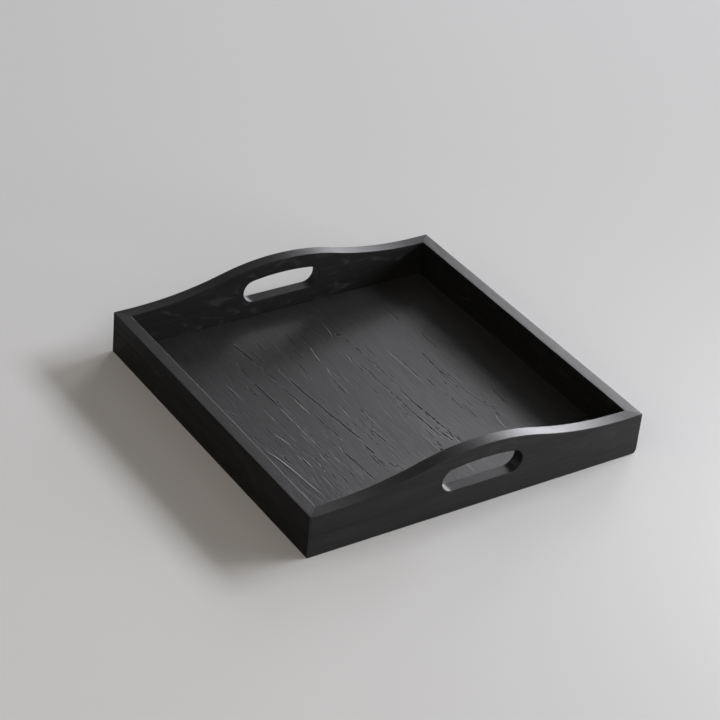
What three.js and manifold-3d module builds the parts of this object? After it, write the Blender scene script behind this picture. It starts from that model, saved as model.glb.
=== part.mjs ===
// Square serving tray of black-stained teak.
// Four mitred boards make the frame. Two of them, the handle ends, rise in a wave and hold a hand slot.
// A three-ply floor sits in a groove round the inside, and a loose spline is hidden in each mitre.
// Millimetres, +Z up. The origin is the middle of the footprint, on the surface that the tray stands on.
// X runs along the handle ends, and Y from handle to handle.

import * as THREE from 'three';
import { mergeVertices } from 'three/addons/utils/BufferGeometryUtils.js';
import Module from 'manifold-3d';

// Frame boards
const TRAY_WIDTH = 400; // outside, along X
const TRAY_DEPTH = 400; // outside, along Y
const BOARD_THICKNESS = 14;
const RIM_HEIGHT = 48.5; // the rails, and the ends at their corners
const EDGE_EASE = 1; // sanded round of each long edge
const CORNER_EASE = 2; // sanded round of each upright outer corner
const MITRE_GAP = 0.3; // glue line between two mitred faces

// Wave along the top of a handle end
const CROWN_RISE = 24; // middle of the wave above the rim
const CROWN_RADIUS = 265;
const CORNER_FLAT = 20; // level run between the wave and the corner

// Hand slot
const SLOT_LENGTH = 96;
const SLOT_HEIGHT = 28.8; // at its middle
const SLOT_WEB = 16.7; // wood between the slot and the crown

// Floor panel
const FACE_PLY = 1;
const CORE_PLY = 3;
const BACK_PLY = 1;
const PLY_GLUE_LINE = 0.1;
const FLOOR_RAISE = 3; // clear height under the floor
const GROOVE_DEPTH = 6;
const GROOVE_SIDE_CLEARANCE = 0.5; // room for the panel to swell across
const GROOVE_FACE_CLEARANCE = 0.15; // above and below the panel

// Mitre splines
const SPLINE_THICKNESS = 3;
const SPLINE_WIDTH = 12; // across the mitre, half in each board
const SPLINE_FOOTING = 5; // wood between the groove and the spline
const SPLINE_COVER = 8; // wood between the spline and the rim
const SPLINE_CLEARANCE = 0.3;

// Fineness of the round stretches
const ARC_STEPS = 12;
const CORNER_STEPS = 2;
const EASE_STEPS = 2;

// How far a cutting shape runs past the wood that it cuts
const OVERRUN = 6;

// Heights and reaches that follow from the sizes above
const crownHeight = RIM_HEIGHT + CROWN_RISE;
const panelThickness = BACK_PLY + PLY_GLUE_LINE + CORE_PLY + PLY_GLUE_LINE + FACE_PLY;
const floorTop = FLOOR_RAISE + panelThickness;
const grooveTop = floorTop + GROOVE_FACE_CLEARANCE;
const splineFoot = grooveTop + SPLINE_FOOTING;
const splineHeight = RIM_HEIGHT - SPLINE_COVER - splineFoot;
// The spline stands nearer the inner corner, with as much wood inside it as outside it.
const splineSetback = BOARD_THICKNESS / 2 - (SPLINE_WIDTH / 2 + SPLINE_CLEARANCE) / Math.SQRT2 / 2;

// Finishes
const STAINED_TEAK = { color: 0x2a2928, roughness: 0.5, metalness: 0 };
const STAINED_VENEER = { color: 0x333231, roughness: 0.45, metalness: 0 };
const BARE_CORE = { color: 0x9c7a55, roughness: 0.8, metalness: 0 };
const BARE_HARDWOOD = { color: 0xa9824f, roughness: 0.75, metalness: 0 };

const wasm = await Module();
wasm.setup();

// Turns a closed geometry into a solid that can be cut.
function solid(geometry) {
  geometry.deleteAttribute('normal');
  geometry.deleteAttribute('uv');
  const merged = mergeVertices(geometry);
  return new wasm.Manifold(new wasm.Mesh({
    numProp: 3,
    vertProperties: new Float32Array(merged.attributes.position.array),
    triVerts: new Uint32Array(merged.index.array),
  }));
}

// Turns a cut solid back into a geometry.
function geometryOf(cutSolid) {
  const { vertProperties, triVerts } = cutSolid.getMesh();
  const geometry = new THREE.BufferGeometry();
  geometry.setAttribute('position', new THREE.BufferAttribute(vertProperties, 3));
  geometry.setIndex(new THREE.BufferAttribute(triVerts, 1));
  geometry.computeVertexNormals();
  return geometry;
}

// Straight-topped outline of a side rail, running past both corners.
function railOutline(length) {
  const reach = length / 2 + OVERRUN;
  const outline = new THREE.Shape();
  outline.moveTo(-reach, 0);
  outline.lineTo(reach, 0);
  outline.lineTo(reach, RIM_HEIGHT);
  outline.lineTo(-reach, RIM_HEIGHT);
  outline.closePath();
  return outline;
}

// Outline of a handle end: level at the corners, a hollow arc up on each side and a round crown.
// The arcs meet in a shared tangent, which fixes the hollow's radius and the turn of each arc.
function handleOutline(length) {
  const reach = length / 2 + OVERRUN;
  const waveReach = length / 2 - CORNER_FLAT;
  const radiusSum = (waveReach ** 2 + CROWN_RISE ** 2) / (2 * CROWN_RISE);
  const hollowRadius = radiusSum - CROWN_RADIUS;
  const turn = 2 * Math.atan2(CROWN_RISE, waveReach);
  const hollowCentre = RIM_HEIGHT + hollowRadius;
  const down = -Math.PI / 2;
  const up = Math.PI / 2;
  const outline = new THREE.Shape();
  outline.moveTo(-reach, 0);
  outline.lineTo(reach, 0);
  outline.lineTo(reach, RIM_HEIGHT);
  outline.absarc(waveReach, hollowCentre, hollowRadius, down, down - turn, true);
  outline.absarc(0, crownHeight - CROWN_RADIUS, CROWN_RADIUS, up - turn, up + turn, false);
  outline.absarc(-waveReach, hollowCentre, hollowRadius, down + turn, down, true);
  outline.lineTo(-reach, RIM_HEIGHT);
  outline.closePath();
  outline.holes.push(slotOutline());
  return outline;
}

// Outline of the hand slot: a straight sill, a top that follows the crown, and full round ends.
// Each end's radius is the one that touches the sill, the top arc and the slot's full length.
function slotOutline() {
  const crownCentre = crownHeight - CROWN_RADIUS;
  const topRadius = CROWN_RADIUS - SLOT_WEB;
  const sill = crownHeight - SLOT_WEB - SLOT_HEIGHT;
  const sillReach = sill - crownCentre;
  const linear = 2 * (sillReach + topRadius) - SLOT_LENGTH;
  const constant = SLOT_LENGTH ** 2 / 4 + sillReach ** 2 - topRadius ** 2;
  const endRadius = (Math.sqrt(linear ** 2 - 4 * constant) - linear) / 2;
  const endX = SLOT_LENGTH / 2 - endRadius;
  const endZ = sill + endRadius;
  const endTurn = Math.atan2(endZ - crownCentre, endX);
  const hole = new THREE.Path();
  hole.moveTo(-endX, sill);
  hole.absarc(endX, endZ, endRadius, -Math.PI / 2, endTurn, false);
  hole.absarc(0, crownCentre, topRadius, endTurn, Math.PI - endTurn, false);
  hole.absarc(-endX, endZ, endRadius, Math.PI - endTurn, Math.PI * 1.5, false);
  return hole;
}

// Board seen from above: mitred at both ends, with its half of each rounded tray corner.
function mitredPlan(length, outerFace) {
  const halfLength = length / 2;
  const gapAlong = MITRE_GAP / Math.SQRT2;
  const innerReach = halfLength - BOARD_THICKNESS - OVERRUN - gapAlong;
  const innerFace = -outerFace + BOARD_THICKNESS + OVERRUN;
  const roundX = halfLength - CORNER_EASE;
  const roundY = -outerFace + CORNER_EASE;
  const roundStart = -Math.PI / 4 - Math.asin(MITRE_GAP / 2 / CORNER_EASE);
  const down = -Math.PI / 2;
  const plan = new THREE.Shape();
  plan.moveTo(-innerReach, innerFace);
  plan.lineTo(innerReach, innerFace);
  plan.absarc(roundX, roundY, CORNER_EASE, roundStart, down, true);
  plan.lineTo(roundX, -outerFace - OVERRUN);
  plan.lineTo(-roundX, -outerFace - OVERRUN);
  plan.absarc(-roundX, roundY, CORNER_EASE, down, -Math.PI - roundStart, true);
  plan.closePath();
  return plan;
}

// Groove along the inner face of a board, for the edge of the floor panel.
function grooveCut(length, outerFace) {
  const height = panelThickness + 2 * GROOVE_FACE_CLEARANCE;
  const depth = GROOVE_DEPTH + OVERRUN;
  const cut = new THREE.BoxGeometry(length, depth, height);
  const middle = -outerFace + BOARD_THICKNESS + (OVERRUN - GROOVE_DEPTH) / 2;
  return cut.translate(0, middle, FLOOR_RAISE + panelThickness / 2);
}

// Block of a spline's shape, standing across the mitre at one end of a board, larger by a clearance.
function splineBlock(length, outerFace, side, clearance) {
  const block = new THREE.BoxGeometry(
    SPLINE_WIDTH + 2 * clearance,
    SPLINE_THICKNESS + 2 * clearance,
    splineHeight + 2 * clearance,
  );
  const inFromFace = BOARD_THICKNESS - splineSetback;
  block.rotateZ(side * Math.PI / 4);
  return block.translate(
    side * (length / 2 - inFromFace),
    -outerFace + inFromFace,
    splineFoot + splineHeight / 2,
  );
}

// One frame board lying along X, with its outer face at y = -outerFace.
function frameBoard(outline, length, outerFace) {
  const profile = new THREE.ExtrudeGeometry(outline, {
    depth: BOARD_THICKNESS - 2 * EDGE_EASE,
    curveSegments: ARC_STEPS,
    bevelThickness: EDGE_EASE,
    bevelSize: EDGE_EASE,
    bevelOffset: -EDGE_EASE,
    bevelSegments: EASE_STEPS,
  });
  profile.rotateX(Math.PI / 2);
  profile.translate(0, -outerFace + BOARD_THICKNESS - EDGE_EASE, 0);
  const plan = new THREE.ExtrudeGeometry(mitredPlan(length, outerFace), {
    depth: crownHeight + 2 * OVERRUN,
    curveSegments: CORNER_STEPS,
    bevelEnabled: false,
  });
  plan.translate(0, 0, -OVERRUN);
  let board = solid(profile).intersect(solid(plan));
  board = board.subtract(solid(grooveCut(length, outerFace)));
  for (const side of [-1, 1]) {
    board = board.subtract(solid(splineBlock(length, outerFace, side, SPLINE_CLEARANCE)));
  }
  return geometryOf(board);
}

// One ply of the floor panel, its edges in the groove on all four sides.
function floorPly(thickness, underside) {
  const edgeReach = GROOVE_DEPTH - GROOVE_SIDE_CLEARANCE - BOARD_THICKNESS;
  const ply = new THREE.BoxGeometry(TRAY_WIDTH + 2 * edgeReach, TRAY_DEPTH + 2 * edgeReach, thickness);
  return ply.translate(0, 0, underside + thickness / 2);
}

const tray = new THREE.Group();

function addPiece(name, geometry, finish, turn = 0) {
  const piece = new THREE.Mesh(geometry, new THREE.MeshStandardMaterial(finish));
  piece.name = name;
  piece.rotation.z = turn;
  tray.add(piece);
}

// The frame: each board is made along the front and turned to its own side.
const halfTurn = Math.PI;
const quarterTurn = Math.PI / 2;
const handleEnd = frameBoard(handleOutline(TRAY_WIDTH), TRAY_WIDTH, TRAY_DEPTH / 2);
const sideRail = frameBoard(railOutline(TRAY_DEPTH), TRAY_DEPTH, TRAY_WIDTH / 2);
addPiece('front_handle_end', handleEnd, STAINED_TEAK);
addPiece('back_handle_end', handleEnd, STAINED_TEAK, halfTurn);
addPiece('left_side_rail', sideRail, STAINED_TEAK, -quarterTurn);
addPiece('right_side_rail', sideRail, STAINED_TEAK, quarterTurn);

// The floor, from its underside up.
const coreUnderside = FLOOR_RAISE + BACK_PLY + PLY_GLUE_LINE;
const faceUnderside = coreUnderside + CORE_PLY + PLY_GLUE_LINE;
addPiece('floor_back_ply', floorPly(BACK_PLY, FLOOR_RAISE), STAINED_VENEER);
addPiece('floor_core_ply', floorPly(CORE_PLY, coreUnderside), BARE_CORE);
addPiece('floor_face_ply', floorPly(FACE_PLY, faceUnderside), STAINED_VENEER);

// The splines: two stand at the front corners, and a half turn gives the back pair.
for (const [end, turn] of [['front', 0], ['back', halfTurn]]) {
  for (const [hand, side] of [['left', -1], ['right', 1]]) {
    const place = turn ? -side : side;
    const spline = splineBlock(TRAY_WIDTH, TRAY_DEPTH / 2, place, 0);
    addPiece(`${end}_${hand}_mitre_spline`, spline, BARE_HARDWOOD, turn);
  }
}

export default tray;
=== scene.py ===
"""Looks of a black-stained teak serving tray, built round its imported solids.

Metres, +Z up. X runs along the handle ends and Y from handle to handle, as in the solids.
"""

import math
import random

import bmesh
import bpy
from mathutils import Matrix, Vector, noise
from mathutils.geometry import delaunay_2d_cdt


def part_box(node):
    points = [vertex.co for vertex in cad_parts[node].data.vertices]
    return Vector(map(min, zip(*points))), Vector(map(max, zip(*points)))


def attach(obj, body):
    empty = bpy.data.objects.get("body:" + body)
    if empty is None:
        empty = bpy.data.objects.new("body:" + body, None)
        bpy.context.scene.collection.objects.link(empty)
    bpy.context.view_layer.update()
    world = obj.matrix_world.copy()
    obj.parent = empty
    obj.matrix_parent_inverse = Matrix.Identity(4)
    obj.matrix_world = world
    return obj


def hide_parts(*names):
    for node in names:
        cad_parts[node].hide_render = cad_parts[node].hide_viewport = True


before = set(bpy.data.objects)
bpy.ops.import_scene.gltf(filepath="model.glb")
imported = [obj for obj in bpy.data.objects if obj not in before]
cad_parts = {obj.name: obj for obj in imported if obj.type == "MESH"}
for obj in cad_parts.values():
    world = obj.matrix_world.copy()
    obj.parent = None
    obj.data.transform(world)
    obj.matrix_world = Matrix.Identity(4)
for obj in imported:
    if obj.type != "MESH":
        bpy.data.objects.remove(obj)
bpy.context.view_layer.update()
MM = 0.001

# Sizes that the solids give
RAIL_LOW, RAIL_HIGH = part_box("left_side_rail")
END_LOW, END_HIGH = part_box("front_handle_end")
_, FACE_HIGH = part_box("floor_face_ply")
BACK_LOW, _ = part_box("floor_back_ply")
HALF_WIDTH = -RAIL_LOW.x
HALF_DEPTH = -END_LOW.y
BOARD = RAIL_HIGH.x - RAIL_LOW.x
RIM = RAIL_HIGH.z
CROWN = END_HIGH.z

# Sizes of the wave, the hand slot, the upright corners and the groove, as the solids have them
CORNER_FLAT = 20 * MM
CROWN_RADIUS = 265 * MM
SLOT_LENGTH = 96 * MM
SLOT_HEIGHT = 28.8 * MM
SLOT_WEB = 16.7 * MM
CORNER_EASE = 2.0 * MM
GROOVE_DEPTH = 6.0 * MM
GROOVE_CLEARANCE = 0.15 * MM

# Sizes given here: edges and seams look finer in the photo than in the solids, and one bottom corner is worn
EDGE_EASE = 0.6 * MM
MITRE_SEAM = 0.16 * MM
WORN_CORNER = 3.6 * MM
WORN_SLOPES = (0.35, 0.8, 1.4, 2.6)

# How pale hands have rubbed the wood, where 1 is as much as on the rims and sills: the rub starts this far
# round an eased edge, and a slot above its sill has at least so much of it
RUB_START = 0.75
SLOT_RUB = 0.1

# How finely the boards are drawn
OUTLINE_STEP = 3.0 * MM
ARC_STEP = 0.16
ARC_LEAST_STEPS = 6
SAME_POINT = 0.05 * MM
FLAT_MARGIN = 0.8 * MM
EASE_STEPS = 4
CORNER_FACETS = 4
FACE_STEP = 7.0 * MM
FACE_JITTER = (0.3, 0.7)
FACE_CLEAR = 0.5 * FACE_STEP
FACE_SEED = 7
OVERRUN = 6.0 * MM
SMOOTH_ANGLE = math.radians(32)

# Settings of the cuts and fills: the fill keeps only the triangles inside its outline
CUT_TOLERANCE = 1e-8
FILL_TOLERANCE = 1e-7
FILL_INSIDE = 1

# Unevenness that hand sanding leaves
EDGE_WOBBLE = 0.05 * MM
EDGE_WOBBLE_LENGTH = 60 * MM
FACE_WOBBLE = 0.08 * MM
FACE_WOBBLE_LENGTH = 45 * MM
SEED_PER_METRE = 90


# Outlines

def arc(centre, radius, start, end):
    """Points along an arc, its two ends included."""
    turn = abs(end - start)
    steps = max(ARC_LEAST_STEPS, math.ceil(turn * radius / OUTLINE_STEP), math.ceil(turn / ARC_STEP))
    turns = [start + (end - start) * i / steps for i in range(steps + 1)]
    return [Vector((centre[0] + radius * math.cos(t), centre[1] + radius * math.sin(t))) for t in turns]


def line(start, end):
    """Points along a straight run, without its last point."""
    start, end = Vector(start), Vector(end)
    steps = max(1, round((end - start).length / OUTLINE_STEP))
    return [start.lerp(end, i / steps) for i in range(steps)]


def straight_sided(corners):
    """Points round a closed outline with straight sides."""
    points = []
    for i, corner in enumerate(corners):
        points += line(corner, corners[(i + 1) % len(corners)])
    return points


def without_repeats(points):
    """The same closed outline with no point twice in a row."""
    return [p for i, p in enumerate(points) if (p - points[i - 1]).length > SAME_POINT]


def handle_outline():
    """Outline of a handle end in X and Z: level corners, hollow arcs and a round crown."""
    reach = HALF_WIDTH + OVERRUN
    wave_reach = HALF_WIDTH - CORNER_FLAT
    rise = CROWN - RIM
    hollow_radius = (wave_reach ** 2 + rise ** 2) / (2 * rise) - CROWN_RADIUS
    turn = 2 * math.atan2(rise, wave_reach)
    down, up = -math.pi / 2, math.pi / 2
    points = line((-reach, 0), (reach, 0)) + line((reach, 0), (reach, RIM))
    points += line((reach, RIM), (wave_reach, RIM))
    points += arc((wave_reach, RIM + hollow_radius), hollow_radius, down, down - turn)
    points += arc((0, CROWN - CROWN_RADIUS), CROWN_RADIUS, up - turn, up + turn)
    points += arc((-wave_reach, RIM + hollow_radius), hollow_radius, down + turn, down)
    points += line((-wave_reach, RIM), (-reach, RIM)) + line((-reach, RIM), (-reach, 0))
    return without_repeats(points)


def slot_outline():
    """Outline of a hand slot: a straight sill, a top that follows the crown, and full round ends.

    The ends touch the sill and the top, and the slot's length: a square equation in their radius.
    """
    centre = CROWN - CROWN_RADIUS
    top_radius = CROWN_RADIUS - SLOT_WEB
    sill = CROWN - SLOT_WEB - SLOT_HEIGHT
    once = 2 * (sill - centre + top_radius) - SLOT_LENGTH
    constant = SLOT_LENGTH ** 2 / 4 + (sill - centre) ** 2 - top_radius ** 2
    end_radius = (math.sqrt(once ** 2 - 4 * constant) - once) / 2
    end_x, end_z = SLOT_LENGTH / 2 - end_radius, sill + end_radius
    turn = math.atan2(end_z - centre, end_x)
    points = line((-end_x, sill), (end_x, sill))
    points += arc((end_x, end_z), end_radius, -math.pi / 2, turn)
    points += arc((0, centre), top_radius, turn, math.pi - turn)
    points += arc((-end_x, end_z), end_radius, math.pi - turn, 1.5 * math.pi)
    return without_repeats(points)


def rail_outline():
    """Outline of a straight side rail in its length and Z."""
    reach = HALF_DEPTH + OVERRUN
    return straight_sided([(-reach, 0), (reach, 0), (reach, RIM), (-reach, RIM)])


def outward(points, hole):
    """Unit normals of a closed outline, pointing out of the wood."""
    normals = []
    for i in range(len(points)):
        along = points[(i + 1) % len(points)] - points[i - 1]
        normals.append(Vector((along.y, -along.x)).normalized() * (-1 if hole else 1))
    return normals


# Frame boards

def wobble(place, length, seed):
    """Smooth unevenness between -1 and 1 at a place, with bumps about one length apart."""
    return noise.noise(Vector((place[0] / length, place[1] / length, seed)))


def encloses(loop, spot):
    """Whether a closed outline goes round a spot."""
    inside = False
    for i, b in enumerate(loop):
        a = loop[i - 1]
        if (a.y > spot.y) != (b.y > spot.y):
            crossing = a.x + (b.x - a.x) * (spot.y - a.y) / (b.y - a.y)
            if spot.x < crossing:
                inside = not inside
    return inside


def fill_plane(bm, loops, place):
    """Fills one flat side between loops of vertices with triangles, on a loose grid of new vertices.

    The first loop is the side's outline and the others are holes. place gives a new vertex its 3-D point.
    """
    flat = [[Vector((v.co.x, v.co.z)) for v in loop] for loop in loops]
    points = [p for loop in flat for p in loop]
    made = [v for loop in loops for v in loop]
    edges, first = [], 0
    for loop in loops:
        count = len(loop)
        edges += [(first + i, first + (i + 1) % count) for i in range(count)]
        first += count
    rim = list(points)
    low = [min(p[k] for p in rim) for k in range(2)]
    high = [max(p[k] for p in rim) for k in range(2)]
    draw = random.Random(FACE_SEED)
    for i in range(int((high[0] - low[0]) / FACE_STEP)):
        for j in range(int((high[1] - low[1]) / FACE_STEP)):
            spot = Vector((low[0] + (i + draw.uniform(*FACE_JITTER)) * FACE_STEP,
                           low[1] + (j + draw.uniform(*FACE_JITTER)) * FACE_STEP))
            if min((spot - p).length_squared for p in rim) > FACE_CLEAR ** 2:
                points.append(spot)
                made.append(None)
    flat_points, _, faces, source, _, _ = delaunay_2d_cdt(points, edges, [], FILL_INSIDE, FILL_TOLERANCE)
    for face in faces:
        middle = sum((flat_points[i] for i in face), Vector((0, 0))) / len(face)
        if not encloses(flat[0], middle) or any(encloses(hole, middle) for hole in flat[1:]):
            continue
        corners = []
        for index in face:
            origin = source[index][0]
            if made[origin] is None:
                made[origin] = bm.verts.new(place(points[origin]))
            corners.append(made[origin])
        bm.faces.new(corners)


def bridge(bm, ring_a, ring_b):
    """Joins two closed rings of as many vertices with quads."""
    count = len(ring_a)
    for i in range(count):
        j = (i + 1) % count
        bm.faces.new((ring_a[i], ring_a[j], ring_b[j], ring_b[i]))


def cut_away(bm, point, normal):
    """Cuts off what lies beyond a plane and closes the cut."""
    geometry = bm.verts[:] + bm.edges[:] + bm.faces[:]
    cut = bmesh.ops.bisect_plane(bm, geom=geometry, plane_co=point, plane_no=normal,
                                 clear_outer=True, dist=CUT_TOLERANCE)
    edges = [e for e in cut["geom_cut"] if isinstance(e, bmesh.types.BMEdge)]
    if edges:
        bmesh.ops.edgeloop_fill(bm, edges=edges)


def eased_rings(bm, contour, hole, outer, inner, rubbed, seed):
    """Rings of vertices round one contour, from the outer face over both eased edges to the inner face.

    One more ring on each flat, close to its eased edge, keeps the flat's shading flat. Returns the first
    and the last ring.
    """
    normals = outward(contour, hole)
    # Each step over one edge: how far in from the outline and from the face, and how rubbed it is
    steps = [(EDGE_EASE + FLAT_MARGIN, 0.0, 0.0)]
    for turn in (math.pi / 2 * k / EASE_STEPS for k in range(EASE_STEPS + 1)):
        rub = max(0.0, (math.sin(turn) - RUB_START) / (1 - RUB_START))
        steps.append((EDGE_EASE * (1 - math.sin(turn)), EDGE_EASE * (1 - math.cos(turn)), rub))
    steps.append((0.0, EDGE_EASE + FLAT_MARGIN, 1.0))
    profile = [(outer, 1, step) for step in steps] + [(inner, -1, step) for step in reversed(steps)]
    rings = []
    for face, inward, (from_outline, from_face, rub) in profile:
        ring = []
        for point, normal in zip(contour, normals):
            uneven = EDGE_WOBBLE * wobble(point, EDGE_WOBBLE_LENGTH, seed)
            spot = point - normal * (from_outline + uneven + EDGE_WOBBLE)
            vertex = bm.verts.new((spot.x, face + inward * from_face, spot.y))
            vertex[rubbed] = rub * (max(SLOT_RUB, normal.y) if hole else 1.0)
            ring.append(vertex)
        rings.append(ring)
    for ring_a, ring_b in zip(rings, rings[1:]):
        bridge(bm, ring_a, ring_b)
    return rings[0], rings[-1]


def groove_pocket(bm, reach, inner):
    """Groove for the floor panel along the inner face. Returns its mouth, a ring on that face."""
    low, high = BACK_LOW.z - GROOVE_CLEARANCE, FACE_HIGH.z + GROOVE_CLEARANCE
    mouth_points = line((-reach, low), (reach, low)) + [Vector((reach, low))]
    mouth_points += line((reach, high), (-reach, high)) + [Vector((-reach, high))]
    mouth = [bm.verts.new((p.x, inner, p.y)) for p in mouth_points]
    bottom = [bm.verts.new((p.x, inner - GROOVE_DEPTH, p.y)) for p in mouth_points]
    bridge(bm, mouth, bottom)
    bm.faces.new(bottom)
    return mouth


def new_piece(name, bm):
    """Object made from a bmesh, smooth except at its sharp edges, riding on the tray's one body."""
    mesh = bpy.data.meshes.new(name)
    bm.to_mesh(mesh)
    bm.free()
    mesh.polygons.foreach_set("use_smooth", [True] * len(mesh.polygons))
    mesh.set_sharp_from_angle(angle=SMOOTH_ANGLE)
    piece = bpy.data.objects.new(name, mesh)
    bpy.context.collection.objects.link(piece)
    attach(piece, "root")
    return piece


def frame_board(name, outline, holes, half_length, outer_face, turn, seed, worn_end):
    """One mitred, grooved and eased board, made along the front of the tray and turned to its side.

    worn_end is the end, -1 or 1, whose bottom corner is knocked round, or 0.
    """
    bm = bmesh.new()
    rubbed = bm.verts.layers.float.new("rubbed")
    outer, inner = -outer_face, -outer_face + BOARD
    loops = [eased_rings(bm, contour, i > 0, outer, inner, rubbed, seed + i)
             for i, contour in enumerate([outline] + holes)]
    mouth = groove_pocket(bm, half_length + OVERRUN / 2, inner)

    def uneven_face(face):
        """Function that puts a spot of a face in its slightly uneven place. Each face has its own bumps."""
        def place(spot):
            bump = FACE_WOBBLE * wobble(spot, FACE_WOBBLE_LENGTH, seed + face * SEED_PER_METRE)
            return (spot.x, face + bump, spot.y)
        return place

    fill_plane(bm, [loop[0] for loop in loops], uneven_face(outer))
    fill_plane(bm, [loop[1] for loop in loops] + [mouth], uneven_face(inner))
    seam = MITRE_SEAM / math.sqrt(2)
    for side in (-1, 1):
        cut_away(bm, (side * (half_length - seam), outer, 0), (side, 1, 0))
        centre = Vector((side * (half_length - CORNER_EASE), outer + CORNER_EASE, 0))
        for facet in range(CORNER_FACETS):
            angle = -math.pi / 4 * (1 + (facet + 0.5) / CORNER_FACETS)
            tangent = Vector((side * math.cos(angle), math.sin(angle), 0))
            cut_away(bm, centre + tangent * CORNER_EASE, tangent)
    if worn_end:
        centre = Vector((worn_end * (half_length - WORN_CORNER), outer + WORN_CORNER, WORN_CORNER))
        for slope in WORN_SLOPES:
            tangent = Vector((worn_end, -1, -slope)).normalized()
            cut_away(bm, centre + tangent * WORN_CORNER, tangent)
    bmesh.ops.recalc_face_normals(bm, faces=bm.faces[:])
    bm.transform(Matrix.Rotation(turn, 4, "Z"))
    return new_piece(name, bm)


def build_frame():
    """The handle ends and the side rails, in place of their solids. The front right corner is worn."""
    pieces = {}
    for end, turn, seed, worn in (("front", 0.0, 3.1, 1), ("back", math.pi, 11.7, 0)):
        board = frame_board(f"{end}_handle_board", handle_outline(), [slot_outline()],
                            HALF_WIDTH, HALF_DEPTH, turn, seed, worn)
        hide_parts(f"{end}_handle_end")
        pieces[end] = board
    for hand, turn, seed, worn in (("left", -math.pi / 2, 23.9, 0), ("right", math.pi / 2, 37.3, -1)):
        board = frame_board(f"{hand}_rail_board", rail_outline(), [],
                            HALF_DEPTH, HALF_WIDTH, turn, seed, worn)
        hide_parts(f"{hand}_side_rail")
        pieces[hand] = board
    return pieces


# Floor

# How finely the veneers are drawn, and how wide the strips are that sort their splits
VENEER_STEP = 6.0 * MM
VENEER_JITTER = (0.25, 0.75)
VENEER_TOLERANCE = 1e-6
SPLIT_STEP = 1.3 * MM
STRIP = 20 * MM
VENEER_WOBBLE = 0.10 * MM
VENEER_WOBBLE_LENGTH = 30 * MM

# Form of a split: the width of a left lip's bright slope, how far lips reach, and the rows that draw them
SHOULDER = 0.9 * MM
LIP_REACH = 2.2 * MM
LIP_ROWS = (0.9 * MM, 2.4 * MM, 5.5 * MM)
SPLIT_WANDER = 0.40 * MM
SPLIT_WANDER_LENGTH = 4.5 * MM
SPLIT_JOG = 0.7 * MM
SPLIT_JOG_LENGTH = 24 * MM
# A split tapers over a sixth of its length at each tip, and is open over most of each dash
TIP_TAPER = 6
DASH_MEAN, DASH_SWING = 0.66, 1.2
# Share of its width that a split has where it is closed, and what it gains where it is open
CLOSED_WIDTH, OPENED_WIDTH = 0.4, 0.75
# Deepest that splits may cut, the depth at which a split's painted shade is full, and the lift at which
# a left lip's painted highlight is full
DEEPEST = 0.9 * MM
FULL_SHADE_DEPTH = 0.4 * MM
FULL_HIGHLIGHT_LIFT = 0.27 * MM
# Numbers that keep the noises of the splits apart
SPLIT_SEED_STEP, JOG_SEED, DASH_SEED = 1.37, 3, 5
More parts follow.
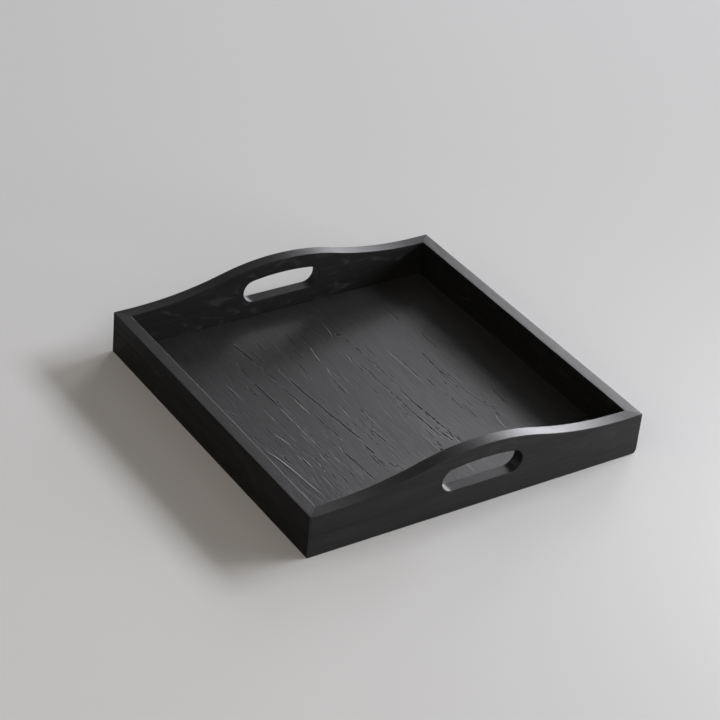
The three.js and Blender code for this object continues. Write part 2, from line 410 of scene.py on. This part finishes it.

# Splits that the grain of the floor shows: points along each, its width and depth, how far its left and
# right lips stand up, and how long its dashes are, all in millimetres. A left lip falls off toward +X and
# shines, partly with a painted highlight; an open split is black with painted shade, and a wide shallow one
# is only a soft dark streak, partly painted shade.
FACE_SPLITS = [
    ([(-101, 108), (-100.5, 95), (-100, 60), (-99.4, 36), (-98.6, 13)], 1.2, 0.90, 0.00, 0.10, 32),
    ([(-98.8, 16), (-98.6, -10)], 0.4, 0.10, 0.15, 0.00, 14),
    ([(-98.8, -12), (-99, -40), (-98, -64)], 0.8, 0.50, 0.10, 0.05, 9),
    ([(-84, 152), (-81, 124), (-79.3, 96), (-77.7, 60)], 1.2, 0.90, 0.00, 0.10, 36),
    ([(-78, 55), (-76.3, 30), (-74.9, 13)], 1.2, 0.90, 0.05, 0.10, 28),
    ([(-77, 24), (-75.9, 0)], 0.4, 0.10, 0.15, 0.00, 14),
    ([(-74.3, 3), (-73, -27), (-70.6, -58)], 0.9, 0.70, 0.05, 0.05, 8),
    ([(-63.6, 80), (-62.3, 53), (-61.4, 30), (-59, 1.4), (-57, -24), (-55, -50), (-53.4, -69)],
     1.3, 0.95, 0.03, 0.10, 48),
    ([(-55.7, -72), (-54.5, -93)], 1.3, 0.90, 0.05, 0.08, 7),
    ([(-57, -92), (-56.3, -116)], 1.0, 0.80, 0.05, 0.08, 6),
    ([(-50.5, -106), (-45.7, -132)], 0.9, 0.70, 0.05, 0.05, 8),
    ([(21, 68), (22, 30), (21.7, -4), (22, -33), (23, -67), (25, -108)], 1.1, 0.85, 0.04, 0.06, 5),
    ([(31.5, 130), (33, 107), (34.3, 81), (34.5, 61), (35, 30), (33.7, -2)], 0.9, 0.65, 0.04, 0.05, 6),
    ([(33.5, 0), (32.9, -27), (34.3, -53), (35.7, -81), (37, -115)], 1.4, 0.90, 0.04, 0.08, 5),
    ([(91, 24), (92.9, 1), (95, -27), (97, -53), (101.4, -70), (102.6, -84)], 0.9, 0.80, 0.20, 0.04, 48),
    ([(98.6, -89), (96, -101), (94.3, -118)], 0.4, 0.10, 0.27, 0.00, 40),
    ([(-81.6, -73), (-80, -96), (-78.3, -130)], 1.0, 0.85, 0.03, 0.06, 24),
    ([(-33, -56), (-32.8, -80)], 0.8, 0.60, 0.02, 0.03, 8),
    ([(-26.3, -24), (-27.2, -49)], 0.8, 0.55, 0.02, 0.12, 9),
    ([(28, -87), (31, -108)], 1.6, 0.80, 0.06, 0.08, 4),
    ([(33, -89), (36, -106)], 1.3, 0.80, 0.06, 0.08, 4),
    ([(8.6, -103), (12, -118)], 1.1, 0.70, 0.16, 0.04, 12),
    ([(14.5, -104), (12.6, -118)], 0.8, 0.60, 0.04, 0.04, 12),
    ([(-10, 107), (-13, 87), (-14.5, 74)], 0.4, 0.10, 0.16, 0.00, 14),
    ([(-15.2, 66), (-17, 46)], 0.4, 0.10, 0.11, 0.00, 10),
    ([(-18, 36), (-18.6, 5)], 0.4, 0.08, 0.09, 0.00, 10),
    ([(29.6, 154), (29, 144), (26, 124), (22.9, 110)], 0.4, 0.10, 0.19, 0.00, 16),
    ([(-153, -35), (-148.6, -47), (-145.7, -59), (-142.9, -79), (-140.9, -101), (-138.6, -126)],
     0.4, 0.10, 0.27, 0.00, 40),
    ([(-128, 83), (-126.6, 64), (-125.7, 34)], 0.4, 0.08, 0.12, 0.00, 12),
    ([(-115.4, 26), (-114.6, -5)], 0.4, 0.08, 0.14, 0.00, 12),
    ([(-115.2, -23), (-115, -41)], 0.4, 0.08, 0.15, 0.00, 12),
    ([(-128.8, -19), (-126, -28), (-122.9, -43)], 0.4, 0.08, 0.14, 0.00, 14),
    ([(-123, -64), (-122, -86)], 0.4, 0.08, 0.13, 0.00, 10),
    ([(-152.9, 39), (-147, 31), (-141.4, 21)], 0.4, 0.08, 0.11, 0.00, 14),
    ([(63, 68), (64.3, -8)], 0.4, 0.08, 0.08, 0.00, 9),
    ([(74, 90), (75, 30), (77.5, -38)], 6.0, 0.08, 0.00, 0.00, 90),
    ([(107, 142), (110, 106)], 3.4, 0.08, 0.00, 0.00, 60),
    ([(52, 60), (54, -30)], 4.0, 0.05, 0.00, 0.00, 60),
]
BACK_SPLITS = [
    ([(-120, 150), (-118, 40), (-121, -60)], 0.7, 0.60, 0.05, 0.05, 30),
    ([(40, 20), (43, -70), (41, -150)], 0.8, 0.60, 0.06, 0.06, 12),
    ([(128, 110), (126, 30)], 0.6, 0.50, 0.05, 0.05, 20),
]

# Fine checks scattered over the veneers, in millimetres: lowest, highest and commonest place, then ranges of
# their length and lean. Some are dark hairlines with painted shade, the others raised fibres with a painted
# highlight.
FACE_CHECKS, BACK_CHECKS = 120, 40
CHECK_X, CHECK_Y = (-170, 150, -70), (-165, 165, -80)
CHECK_LENGTH = (9, 40)
CHECK_LEAN_MEAN, CHECK_LEAN_SPREAD = -0.03, 0.03
DARK_SHARE = 0.6
DARK_WIDTH, DARK_DEPTH, DARK_LIPS, DARK_DASH = (0.35, 0.75), (0.25, 0.5), (0.01, 0.02), 7
RAISED_WIDTH, RAISED_DEPTH, RAISED_LIP, RAISED_DASH = 0.4, 0.06, (0.02, 0.06), 12

# Torn fibres beside every split that is deep enough, in millimetres
TORN_BY_DEPTH = 0.5
TORN_SPACING = 13
TORN_LENGTH = (4, 13)
TORN_ASIDE = (1.2, 3.6)
TORN_LEAN = 0.05
TORN_WIDTH, TORN_DEPTH = (0.5, 0.9), (0.25, 0.6)
TORN_LEFT_LIPS, TORN_RIGHT_LIP, TORN_DASH = (0.01, 0.05), 0.03, 6


class Split:
    """One split along the grain, with a place and a height for any point near it."""

    def __init__(self, points, width, depth, left_lip, right_lip, dash, seed):
        self.points = sorted(([x * MM, y * MM] for x, y in points), key=lambda p: p[1])
        self.low, self.high = self.points[0][1], self.points[-1][1]
        self.half = width * MM / 2
        self.depth = depth * MM
        self.left_lip, self.right_lip = left_lip * MM, right_lip * MM
        self.dash = dash * MM
        self.seed = seed * SPLIT_SEED_STEP
        self.clear = self.half + SHOULDER + LIP_ROWS[-1]
        self.left = min(x for x, _ in self.points) - self.clear
        self.right = max(x for x, _ in self.points) + self.clear

    def centre(self, y):
        """X of the split at a Y, with a ragged wander and longer jogs."""
        for (x0, y0), (x1, y1) in zip(self.points, self.points[1:]):
            if y <= y1:
                break
        share = min(1.0, max(0.0, (y - y0) / (y1 - y0)))
        ragged = SPLIT_WANDER * wobble((y, 0), SPLIT_WANDER_LENGTH, self.seed)
        jog = SPLIT_JOG * wobble((y, 0), SPLIT_JOG_LENGTH, self.seed + JOG_SEED)
        return x0 + (x1 - x0) * share + ragged + jog

    def opening(self, y):
        """How open the split is at a Y: 0 at its tips and where it closes between two dashes."""
        share = (y - self.low) / (self.high - self.low)
        if not 0 < share < 1:
            return 0.0
        dashed = DASH_MEAN + DASH_SWING * wobble((y, 0), self.dash, self.seed + DASH_SEED)
        return min(1.0, TIP_TAPER * share, TIP_TAPER * (1 - share)) * min(1.0, max(0.0, dashed))

    def half_width(self, opening):
        """Half of the split's width where it is so far open."""
        return self.half * (CLOSED_WIDTH + OPENED_WIDTH * opening)

    def rows(self, y):
        """X of the vertices that draw the split at a Y."""
        half = self.half_width(self.opening(y))
        left = [-half - SHOULDER - row for row in LIP_ROWS]
        right = [half + row for row in LIP_ROWS]
        return [self.centre(y) + off for off in left + [-half - SHOULDER, -half, 0.0, half] + right]

    def near(self, x, y):
        """Whether a point is close enough for the split to change it."""
        if not (self.low < y < self.high and self.left < x < self.right):
            return False
        return abs(x - self.centre(y)) < self.clear

    def height(self, x, y):
        """Height that the split adds at a point, how far inside it the point is as the share of painted
        shade, and the share of painted highlight on its lit left lip.
        """
        if not self.near(x, y):
            return 0.0, 0.0, 0.0
        opening = self.opening(y)
        half = self.half_width(opening)
        off = x - self.centre(y)
        left, right, depth = self.left_lip * opening, self.right_lip * opening, self.depth * opening
        if off <= -half:
            beyond = max(0.0, -half - off - SHOULDER)
            # Painted highlight: a standing left lip's slope faces the light and is coloured paler by the
            # material
            painted_lip_highlight = min(1.0, left / FULL_HIGHLIGHT_LIFT) * max(0.0, 1 - 2 * beyond / SHOULDER)
            return left * min(1.0, (-half - off) / SHOULDER) * math.exp(-beyond / LIP_REACH), 0.0, painted_lip_highlight
        if off > half:
            return right * math.exp((half - off) / LIP_REACH), 0.0, 0.0
        inside = 1 - abs(off) / half
        edge = right if off > 0 else 0.0
        # Painted shade: inside a split the colour darkens toward its middle and with its depth
        return edge - inside * (depth + edge), inside * min(1.0, depth / FULL_SHADE_DEPTH), 0.0


def fine_checks(count, seed):
    """Hairline checks and raised fibres scattered along the grain, most of them left and in front."""
    draw = random.Random(seed)
    checks = []
    for _ in range(count):
        x, y = draw.triangular(*CHECK_X), draw.triangular(*CHECK_Y)
        length, lean = draw.uniform(*CHECK_LENGTH), draw.gauss(CHECK_LEAN_MEAN, CHECK_LEAN_SPREAD)
        points = [(x, y), (x - lean * length, y + length)]
        if draw.random() < DARK_SHARE:
            width, depth = draw.uniform(*DARK_WIDTH), draw.uniform(*DARK_DEPTH)
            checks.append((points, width, depth, *DARK_LIPS, DARK_DASH))
        else:
            checks.append((points, RAISED_WIDTH, RAISED_DEPTH, draw.uniform(*RAISED_LIP), 0.0, RAISED_DASH))
    return checks


def torn_fibres(splits, seed):
    """Short checks close beside each open split, where the fibres tore on their way to it."""
    draw = random.Random(seed)
    checks = []
    for points, _, split_depth, *_ in splits:
        if split_depth < TORN_BY_DEPTH:
            continue
        for (x0, y0), (x1, y1) in zip(points, points[1:]):
            for _ in range(round(abs(y1 - y0) / TORN_SPACING)):
                share, length = draw.random(), draw.uniform(*TORN_LENGTH)
                x = x0 + (x1 - x0) * share + draw.choice((-1, 1)) * draw.uniform(*TORN_ASIDE)
                y = y0 + (y1 - y0) * share
                left_lip = draw.choice(TORN_LEFT_LIPS)
                width, depth = draw.uniform(*TORN_WIDTH), draw.uniform(*TORN_DEPTH)
                run = [(x, y), (x - TORN_LEAN * length, y + length)]
                checks.append((run, width, depth, left_lip, TORN_RIGHT_LIP, TORN_DASH))
    return checks


def by_strip(splits):
    """Splits by the strips of X that they touch, so that a point asks only those near it."""
    strips = {}
    for split in splits:
        for strip in range(math.floor(split.left / STRIP), math.floor(split.right / STRIP) + 1):
            strips.setdefault(strip, []).append(split)
    return strips


def splits_at(strips, x):
    """Splits that touch the strip of an X."""
    return strips.get(math.floor(x / STRIP), [])


def veneer_spots(low, high, splits, strips, seed):
    """Points that draw a veneer in X and Y: its edge, rows along each split, and a loose grid between them.

    Returns the points and how many of them, the first ones, are the edge.
    """
    spots = straight_sided([(low.x, low.y), (high.x, low.y), (high.x, high.y), (low.x, high.y)])
    edge_count = len(spots)
    for split in splits:
        steps = math.ceil((split.high - split.low) / SPLIT_STEP)
        for i in range(steps + 1):
            y = split.low + (split.high - split.low) * i / steps
            spots += [Vector((x, y)) for x in split.rows(y)]
    draw = random.Random(seed)
    for i in range(int((high.x - low.x) / VENEER_STEP)):
        for j in range(int((high.y - low.y) / VENEER_STEP)):
            x = low.x + (i + draw.uniform(*VENEER_JITTER)) * VENEER_STEP
            y = low.y + (j + draw.uniform(*VENEER_JITTER)) * VENEER_STEP
            if not any(split.near(x, y) for split in splits_at(strips, x)):
                spots.append(Vector((x, y)))
    return spots, edge_count


def veneer_sheet(name, node, splits, seed, show):
    """One veneer of the floor with its splits cut into the face that shows: show is 1 for up, -1 for down."""
    low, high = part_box(node)
    splits = [Split(*entry, seed + i) for i, entry in enumerate(splits)]
    strips = by_strip(splits)
    spots, edge_count = veneer_spots(low, high, splits, strips, seed)
    border = [(i, (i + 1) % edge_count) for i in range(edge_count)]
    flat, _, faces, source, _, _ = delaunay_2d_cdt(spots, border, [], FILL_INSIDE, VENEER_TOLERANCE)
    shown, hidden = (high.z, low.z) if show > 0 else (low.z, high.z)
    bm = bmesh.new()
    # Kept at each vertex for the material: painted shade inside the splits and painted highlight on lit lips
    painted_split_shade_layer = bm.verts.layers.float.new("split")
    painted_lip_highlight_layer = bm.verts.layers.float.new("painted_lip_highlight")
    made = []
    on_edge = {}
    for spot, origins in zip(flat, source):
        heights = [split.height(spot.x, spot.y) for split in splits_at(strips, spot.x)]
        lift = max(-DEEPEST, sum(h[0] for h in heights))
        edge_origins = [index for index in origins if index < edge_count]
        uneven = 0.0 if edge_origins else VENEER_WOBBLE * wobble(spot, VENEER_WOBBLE_LENGTH, seed)
        vertex = bm.verts.new((spot.x, spot.y, shown + show * (lift + uneven - VENEER_WOBBLE)))
        vertex[painted_split_shade_layer] = max((h[1] for h in heights), default=0.0)
        vertex[painted_lip_highlight_layer] = max((h[2] for h in heights), default=0.0)
        made.append(vertex)
        for index in edge_origins:
            on_edge[index] = vertex
    for face in faces:
        bm.faces.new([made[i] for i in face])
    rim = [on_edge[i] for i in range(edge_count)]
    under = [bm.verts.new((v.co.x, v.co.y, hidden)) for v in rim]
    bridge(bm, rim, under)
    bm.faces.new(under)
    bmesh.ops.recalc_face_normals(bm, faces=bm.faces[:])
    sheet = new_piece(name, bm)
    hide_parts(node)
    return sheet


def build_floor():
    """The floor's top and bottom veneers with their splits, in place of their plies."""
    face_splits = FACE_SPLITS + torn_fibres(FACE_SPLITS, seed=3) + fine_checks(FACE_CHECKS, seed=5)
    back_splits = BACK_SPLITS + torn_fibres(BACK_SPLITS, seed=4) + fine_checks(BACK_CHECKS, seed=9)
    face = veneer_sheet("floor_face_veneer", "floor_face_ply", face_splits, seed=51, show=1)
    back = veneer_sheet("floor_back_veneer", "floor_back_ply", back_splits, seed=67, show=-1)
    return face, back


# Materials

GRAIN_X, GRAIN_Y, GRAIN_Z = 0, 1, 2
BLACK, WHITE = (0.0, 0.0, 0.0, 1.0), (1.0, 1.0, 1.0, 1.0)
WOOD_IOR = 1.5

# Finish of the boards: axis of the grain, roughness of the rims, sheen of the faces and of the rims, how far
# the fibres draw out a highlight, and how strong the smoky patches in the stain are
TEAK_FINISHES = {
    "front": (GRAIN_X, 0.38, 0.30, 0.63, 0.0, 0.25),
    "back": (GRAIN_X, 0.38, 0.24, 0.56, 0.0, 0.90),
    "rails": (GRAIN_Y, 0.33, 0.12, 0.86, 0.35, 0.30),
}
# Roughness of the boards' faces, and how far streaks swing the roughness of faces and rims
FACE_ROUGH = 0.62
FACE_SWING, RIM_SWING = 0.08, 0.04


def linear(code):
    """Linear RGBA of an sRGB hex colour."""
    channels = [int(code[i:i + 2], 16) / 255 for i in (1, 3, 5)]
    return [c / 12.92 if c <= 0.04045 else ((c + 0.055) / 1.055) ** 2.4 for c in channels] + [1.0]


def add(tree, kind, settings=None):
    """Adds a node. A setting is a property of the node, or an input's value or the output that feeds it."""
    made = tree.nodes.new(kind)
    for name, value in (settings or {}).items():
        if isinstance(value, bpy.types.NodeSocket):
            tree.links.new(value, made.inputs[name])
        elif isinstance(name, int) or name in made.inputs:
            made.inputs[name].default_value = value
        else:
            setattr(made, name, value)
    return made


def new_material(name):
    """Empty node material. Returns the material and its tree."""
    material = bpy.data.materials.new(name)
    material.use_nodes = True
    material.node_tree.nodes.clear()
    return material, material.node_tree


def surface(tree, settings):
    """Ends a material with one surface."""
    shader = add(tree, "ShaderNodeBsdfPrincipled", settings)
    add(tree, "ShaderNodeOutputMaterial", {"Surface": shader.outputs[0]})


def along_grain(tree, place, grain, width, length):
    """Coordinates drawn out along the grain: one unit is one width across it and one length along it."""
    scale = [1 / width] * 3
    scale[grain] = 1 / length
    return add(tree, "ShaderNodeMapping", {"Scale": scale, "Vector": place}).outputs[0]


def noise_of(tree, place, scale=1.0, detail=2.0, roughness=0.5, distortion=0.0):
    """Noise node with about one blotch to a unit of scaled place."""
    return add(tree, "ShaderNodeTexNoise", {"Scale": scale, "Detail": detail, "Roughness": roughness,
                                            "Distortion": distortion, "Vector": place})


def ramp(tree, value, start, start_colour, end, end_colour):
    """Colour that runs from one to another while a value runs from start to end."""
    made = add(tree, "ShaderNodeValToRGB", {"Fac": value})
    stops = ((start, start_colour), (end, end_colour))
    for element, (position, colour) in zip(made.color_ramp.elements, stops):
        element.position = position
        element.color = colour
    return made.outputs["Color"]


def spread(tree, value, start, end, low=0.0, high=1.0):
    """Number that runs from low to high while a value runs from start to end."""
    return add(tree, "ShaderNodeMapRange", {"From Min": start, "From Max": end, "To Min": low, "To Max": high,
                                            "Value": value}).outputs[0]


def times(tree, value, factor):
    """A value times a factor."""
    return add(tree, "ShaderNodeMath", {"operation": "MULTIPLY", 0: value, 1: factor}).outputs[0]


def weighed_sum(tree, value, weight, other):
    """A value times its weight, plus another value."""
    return add(tree, "ShaderNodeMath", {"operation": "MULTIPLY_ADD",
                                        0: value, 1: weight, 2: other}).outputs[0]


def between(tree, share, first, second):
    """Number that goes from the first to the second as the share goes from 0 to 1."""
    return add(tree, "ShaderNodeMix", {"data_type": "FLOAT", 0: share, 2: first, 3: second}).outputs[0]


def blend(tree, share, first, second, how="MIX"):
    """Colour that goes from the first to the second, or to their product, as the share goes from 0 to 1."""
    return add(tree, "ShaderNodeMix", {"data_type": "RGBA", "blend_type": how,
                                       0: share, 6: first, 7: second}).outputs[2]


def attribute(tree, name):
    """Number that the mesh holds at each vertex."""
    return add(tree, "ShaderNodeAttribute", {"attribute_name": name}).outputs["Fac"]


def across_grain(tree, grain):
    """Direction across the grain on a surface, in which the fibres spread a highlight."""
    fibre = [0.0, 0.0, 0.0]
    fibre[grain] = 1.0
    normal = add(tree, "ShaderNodeNewGeometry").outputs["Normal"]
    return add(tree, "ShaderNodeVectorMath", {"operation": "CROSS_PRODUCT", 0: normal, 1: fibre}).outputs[0]


def stained_teak(name, grain, rim_rough, face_sheen, rim_sheen, stretch, smudges):
    """Teak, planed and sanded, stained black and rubbed with a satin oil.

    The eye gets a charcoal black with faint lengthwise streaks and smoky patches where the stain took less,
    fine open pores that catch little light, a soft sheen on faces that mirror a window, and edges rubbed a
    little paler by hands. The finish of each board is explained above TEAK_FINISHES.
    """
    material, tree = new_material(name)
    place = add(tree, "ShaderNodeTexCoord").outputs["Object"]

    def along(width, length):
        return along_grain(tree, place, grain, width, length)

    # 14 mm bands, 2.2 mm streaks and 0.6 mm pores, all long in the grain. Real pores are near 0.25 mm wide,
    # and are drawn this coarse so that they still show.
    bands = noise_of(tree, along(14 * MM, 190 * MM), detail=3.0, distortion=0.6).outputs["Fac"]
    streaks = noise_of(tree, along(2.2 * MM, 70 * MM), detail=4.0, roughness=0.6).outputs["Fac"]
    pores = noise_of(tree, along(0.6 * MM, 9 * MM)).outputs["Fac"]
    open_pores = ramp(tree, pores, 0.36, BLACK, 0.46, WHITE)
    tone = weighed_sum(tree, streaks, 0.45, times(tree, bands, 0.55))
    stain = ramp(tree, tone, 0.38, linear("#0f0f0f"), 0.62, linear("#181818"))
    # Smoky patches about 17 by 40 mm
    smoke = noise_of(tree, along(17 * MM, 40 * MM), detail=4.0, distortion=1.6).outputs["Fac"]
    hazed = blend(tree, spread(tree, smoke, 0.56, 0.76, high=smudges), stain, linear("#36363a"))
    pored = blend(tree, 0.35, hazed, open_pores, "MULTIPLY")
    # Hands rub the edges pale in patches about 11 mm wide
    edge = attribute(tree, "rubbed")
    patches = noise_of(tree, place, scale=1 / (11 * MM), detail=4.0).outputs["Fac"]
    worn = times(tree, edge, spread(tree, patches, 0.42, 0.75, high=0.2))
    face_rough = spread(tree, tone, 0.3, 0.7, FACE_ROUGH + FACE_SWING, FACE_ROUGH - FACE_SWING)
    edge_rough = spread(tree, tone, 0.3, 0.7, rim_rough + RIM_SWING, rim_rough - RIM_SWING)
    relief = weighed_sum(tree, open_pores, 0.5, tone)
    surface(tree, {
        "IOR": WOOD_IOR,
        "Anisotropic": stretch,
        "Tangent": across_grain(tree, grain),
        "Base Color": blend(tree, worn, pored, linear("#2c2b2a")),
        "Roughness": between(tree, edge, face_rough, edge_rough),
        "Specular IOR Level": spread(tree, edge, 0.0, 1.0, face_sheen, rim_sheen),
        "Normal": add(tree, "ShaderNodeBump", {"Strength": 0.35, "Distance": 0.12 * MM,
                                               "Height": relief}).outputs[0],
    })
    return material


def stained_veneer(name):
    """Crown-cut teak veneer, stained black: open grain in fine lines, broad soft figure, and splits made
    black with painted shade.

    The eye gets a grey-black floor that a low light rakes into fine light and dark streaks, coarser toward
    the front left, with painted shade that blackens the splits and a painted highlight on the lit slopes of
    lifted fibres.
    """
    material, tree = new_material(name)
    place = add(tree, "ShaderNodeTexCoord").outputs["Object"]
    # The figure wanders sideways about 5 mm over 120 mm of length.
    wander = noise_of(tree, place, scale=1 / (120 * MM), detail=1.0).outputs["Color"]
    shift = add(tree, "ShaderNodeVectorMath", {"operation": "MULTIPLY",
                                               0: wander, 1: (10 * MM, 0, 0)}).outputs[0]
    figured = add(tree, "ShaderNodeVectorMath", {"operation": "ADD", 0: place, 1: shift}).outputs[0]

    def along(width, length):
        return along_grain(tree, figured, GRAIN_Y, width, length)

    # Pores and streaks are drawn 1.3 to 2.2 mm apart and bundles of fibres 4.5 mm, several times their real
    # spacing, so that they show.
    figure = noise_of(tree, along(16 * MM, 150 * MM), distortion=0.4).outputs["Fac"]
    streaks = noise_of(tree, along(2.2 * MM, 34 * MM), detail=4.0, roughness=0.6).outputs["Fac"]
    pores = noise_of(tree, along(1.3 * MM, 20 * MM)).outputs["Fac"]
    open_pores = ramp(tree, pores, 0.36, BLACK, 0.50, WHITE)
    bundles = add(tree, "ShaderNodeTexVoronoi", {"feature": "DISTANCE_TO_EDGE", "Scale": 1.0,
                                                 "Vector": along(4.5 * MM, 45 * MM)}).outputs["Distance"]
    fibres = spread(tree, bundles, 0.02, 0.16)
    tone = weighed_sum(tree, streaks, 0.6, times(tree, figure, 0.4))
    stain = ramp(tree, tone, 0.36, linear("#1f1f1f"), 0.64, linear("#2b2b2c"))
    pored = blend(tree, 0.3, stain, open_pores, "MULTIPLY")
    # Painted highlight: the lit slopes of lifted lips and raised fibres are coloured paler
    with_painted_highlight = blend(tree, attribute(tree, "painted_lip_highlight"), pored, linear("#505054"))
    # Painted shade: the insides of splits are coloured near black and made rough
    inside = spread(tree, attribute(tree, "split"), 0.05, 0.45)
    lit_rough = spread(tree, tone, 0.35, 0.65, 0.40, 0.33)
    # The open grain grows coarser toward the front left, told by the sum of -X and -Y.
    toward_front_left = add(tree, "ShaderNodeVectorMath", {"operation": "DOT_PRODUCT", 0: place,
                                                           1: (-1.0, -1.0, 0.0)}).outputs["Value"]
    coarse = spread(tree, toward_front_left, -160 * MM, 240 * MM, 0.4, 0.8)
    ridges = weighed_sum(tree, fibres, 0.2, weighed_sum(tree, open_pores, 0.35, tone))
    surface(tree, {
        "IOR": WOOD_IOR,
        "Anisotropic": 0.1,
        "Tangent": across_grain(tree, GRAIN_Y),
        "Base Color": blend(tree, inside, with_painted_highlight, linear("#050505")),
        "Roughness": between(tree, inside, lit_rough, 0.95),
        "Specular IOR Level": spread(tree, tone, 0.35, 0.65, 0.88, 1.0),
        "Normal": add(tree, "ShaderNodeBump", {"Strength": 0.42, "Distance": 0.4 * MM,
                                               "Height": times(tree, ridges, coarse)}).outputs[0],
    })
    return material


def bare_wood(name, dark, light, grain):
    """Planed wood with no finish: pale brown, dull, with fine darker grain lines."""
    material, tree = new_material(name)
    place = add(tree, "ShaderNodeTexCoord").outputs["Object"]
    lines = noise_of(tree, along_grain(tree, place, grain, 1.5 * MM, 40 * MM), detail=4.0).outputs["Fac"]
    surface(tree, {
        "IOR": WOOD_IOR,
        "Base Color": ramp(tree, lines, 0.3, linear(dark), 0.7, linear(light)),
        "Roughness": spread(tree, lines, 0.0, 1.0, 0.85, 0.7),
        "Normal": add(tree, "ShaderNodeBump", {"Strength": 0.3, "Distance": 0.1 * MM,
                                               "Height": lines}).outputs[0],
    })
    return material


def dress(piece, material):
    """Gives a piece one material."""
    piece.data.materials.clear()
    piece.data.materials.append(material)


def dress_tray(boards, veneers):
    """Gives the boards and veneers their black teak, and the hidden solids bare wood."""
    teak = {board: stained_teak(f"black_stained_teak_{board}", *finish)
            for board, finish in TEAK_FINISHES.items()}
    for side, board in boards.items():
        dress(board, teak.get(side, teak["rails"]))
    veneer = stained_veneer("black_stained_teak_veneer")
    for sheet in veneers:
        dress(sheet, veneer)
    core_wood = bare_wood("bare_plywood_core", "#8a6a48", "#a8845c", GRAIN_X)
    dress(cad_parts["floor_core_ply"], core_wood)
    spline_wood = bare_wood("bare_planed_hardwood", "#94703f", "#b08a58", GRAIN_Z)
    for node_name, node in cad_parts.items():
        if node_name.endswith("mitre_spline"):
            dress(node, spline_wood)


# Studio

# Soft lights: azimuth from +X, elevation, width and height in degrees as the tray sees them, distance in
# metres, brightness as a multiple of a white wall's, and colour
SOFT_LIGHTS = {
    "key": (-6, 27.5, 36, 10, 10.0, 30.0, "#f8faff"),
    "window": (33.5, 18.5, 10, 28, 9.0, 8.6, "#f9f9ff"),
    "window_low": (42.5, 14, 8, 22, 9.0, 8.6, "#f9f9ff"),
    "window_edge": (50, 24, 9, 12, 9.0, 1.4, "#f9f9ff"),
    "window_glow": (21, 17, 15, 24, 9.0, 2.3, "#f9f9ff"),
    "back": (78, 36, 20, 12, 6.0, 0.5, "#f9f9ff"),
    "low_reflector": (-48, 9, 23, 10, 0.95, 20.0, "#f6f8ff"),
    "front": (-95, 30, 40, 30, 3.0, 0.85, "#fff5e7"),
    "room": (200, 40, 100, 44, 5.0, 0.86, "#fff4e4"),
    "sky": (10, 58, 60, 30, 5.0, 0.12, "#fff8ee"),
}
AMBIENT = 0.045
AMBIENT_COLOUR = "#f8f9ff"
GROUND_REACH = 30.0
GROUND_COLOUR = "#cdcdcd"

# Camera fitted to the tray's own corners, rims and slots: its place in metres, its axes, and its lens in mm
CAMERA_PLACE = (-1.19275, -1.64020, 1.35873)
CAMERA_RIGHT = (0.84061, -0.53504, 0.08434)
CAMERA_DOWN = (-0.23257, -0.49716, -0.83591)
CAMERA_FORWARD = (0.48917, 0.68306, -0.54235)
CAMERA_LENS = 116.16
SENSOR = 36.0


def soft_light(name, azimuth, elevation, width, height, distance, brightness, colour):
    """Rectangular soft light that faces the tray."""
    azimuth, elevation = math.radians(azimuth), math.radians(elevation)
    lamp = bpy.data.lights.new(name, "AREA")
    lamp.shape = "RECTANGLE"
    lamp.size = 2 * distance * math.tan(math.radians(width / 2))
    lamp.size_y = 2 * distance * math.tan(math.radians(height / 2))
    lamp.energy = math.pi * lamp.size * lamp.size_y * brightness
    lamp.color = linear(colour)[:3]
    light = bpy.data.objects.new(name, lamp)
    level = math.cos(elevation)
    away = Vector((level * math.cos(azimuth), level * math.sin(azimuth), math.sin(elevation)))
    light.location = away * distance
    light.rotation_euler = away.to_track_quat("Z", "Y").to_euler()
    bpy.context.collection.objects.link(light)


def pale_ground():
    """Plain pale ground, wide enough to fill the picture from any side: matt grey paper to the eye."""
    bm = bmesh.new()
    bmesh.ops.create_grid(bm, x_segments=2, y_segments=2, size=GROUND_REACH)
    mesh = bpy.data.meshes.new("ground")
    bm.to_mesh(mesh)
    bm.free()
    ground = bpy.data.objects.new("ground", mesh)
    bpy.context.collection.objects.link(ground)
    material, tree = new_material("matt_grey_paper")
    surface(tree, {"Base Color": linear(GROUND_COLOUR), "Roughness": 0.9, "IOR": 1.3})
    dress(ground, material)


def studio():
    """Camera, lights and ground."""
    camera = bpy.data.objects.new("camera", bpy.data.cameras.new("camera"))
    camera.data.lens = CAMERA_LENS
    camera.data.sensor_width = SENSOR
    axes = Matrix((CAMERA_RIGHT, [-c for c in CAMERA_DOWN], [-c for c in CAMERA_FORWARD])).transposed()
    camera.matrix_world = Matrix.Translation(CAMERA_PLACE) @ axes.to_4x4()
    bpy.context.collection.objects.link(camera)
    scene = bpy.context.scene
    scene.camera = camera
    scene.view_settings.view_transform = "Standard"
    for name, settings in SOFT_LIGHTS.items():
        soft_light(name, *settings)
    world = bpy.data.worlds.new("studio")
    world.use_nodes = True
    scene.world = world
    tree = world.node_tree
    tree.nodes.clear()
    room = add(tree, "ShaderNodeBackground", {"Color": linear(AMBIENT_COLOUR), "Strength": AMBIENT})
    add(tree, "ShaderNodeOutputWorld", {"Surface": room.outputs[0]})
    pale_ground()


studio()
frame_boards = build_frame()
floor_veneers = build_floor()
dress_tray(frame_boards, floor_veneers)
